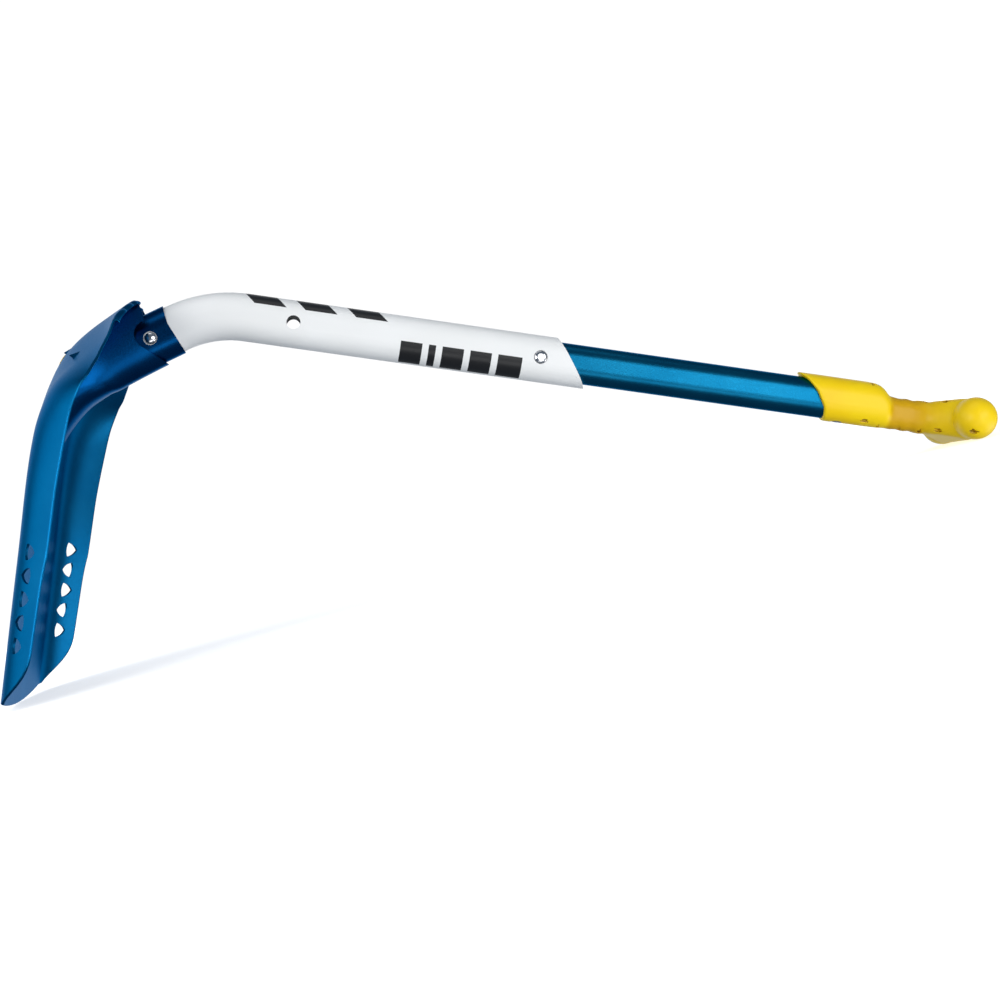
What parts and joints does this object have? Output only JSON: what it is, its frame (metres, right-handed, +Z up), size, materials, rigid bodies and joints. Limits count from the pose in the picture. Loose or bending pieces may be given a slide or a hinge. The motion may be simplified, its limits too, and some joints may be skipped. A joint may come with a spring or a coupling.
{
  "type": "avalanche shovel",
  "caption": "Compact snow shovel with a bent telescoping shaft, a T-grip and a detachable scoop turned to the hoe position.",
  "frame": {"origin": "middle of the object's footprint on the ground, as it stands on the cutting edge and the crossbar", "axes": "+Z up, +X from the blade towards the grip, Y across the blade; the object is symmetric about the XZ plane but for the two lock buttons"},
  "size_m": [0.7034, 0.241, 0.2436],
  "materials": {
    "anodised_blue": "satin blue anodised sheet",
    "anodised_tube": "satin blue anodised tube",
    "white_coating": "white powder coat with plain black bars",
    "yellow_plastic": "moulded yellow plastic",
    "black_plastic": "moulded black plastic",
    "steel": "polished stainless steel"
  },
  "bodies": {
    "lower_shaft": {"lower_shaft": "white_coating", "shaft_end_plug": "black_plastic", "guide_bushing": "black_plastic", "blade_lock_spring": "steel"},
    "scoop": {"blade": "anodised_blue", "neck_bracket": "anodised_blue", "shaft_socket": "anodised_blue", "blade_badge": "yellow_plastic"},
    "upper_shaft": {"upper_shaft": "anodised_tube", "shaft_glide": "black_plastic", "length_lock_spring": "steel", "grip_body": "yellow_plastic", "grip_core": "black_plastic", "grip_rivet": "steel"},
    "blade_lock_button": {"blade_lock_button": "steel"},
    "length_lock_button": {"length_lock_button": "steel"}
  },
  "joints": [
    {"name": "blade_release", "type": "slide", "parent": "lower_shaft", "child": "scoop", "axis": [-0.9804, 0, -0.1971], "range_m": [0, 0.06], "deforming": ["blade_lock_button", "blade_lock_spring"]},
    {"name": "shaft_telescope", "type": "slide", "parent": "lower_shaft", "child": "upper_shaft", "axis": [-0.923, 0, 0.3848], "range_m": [0, 0.172], "deforming": ["length_lock_button", "length_lock_spring"]},
    {"name": "blade_lock_press", "type": "slide", "parent": "lower_shaft", "child": "blade_lock_button", "axis": [0, 1, 0], "range_m": [0, 0.0034], "stiffness_N_per_m": 2000, "springref_m": -0.003, "deforming": ["blade_lock_spring"]},
    {"name": "length_lock_press", "type": "slide", "parent": "upper_shaft", "child": "length_lock_button", "axis": [0, 1, 0], "range_m": [0, 0.0044], "stiffness_N_per_m": 2000, "springref_m": -0.003, "deforming": ["length_lock_spring"]}
  ]
}
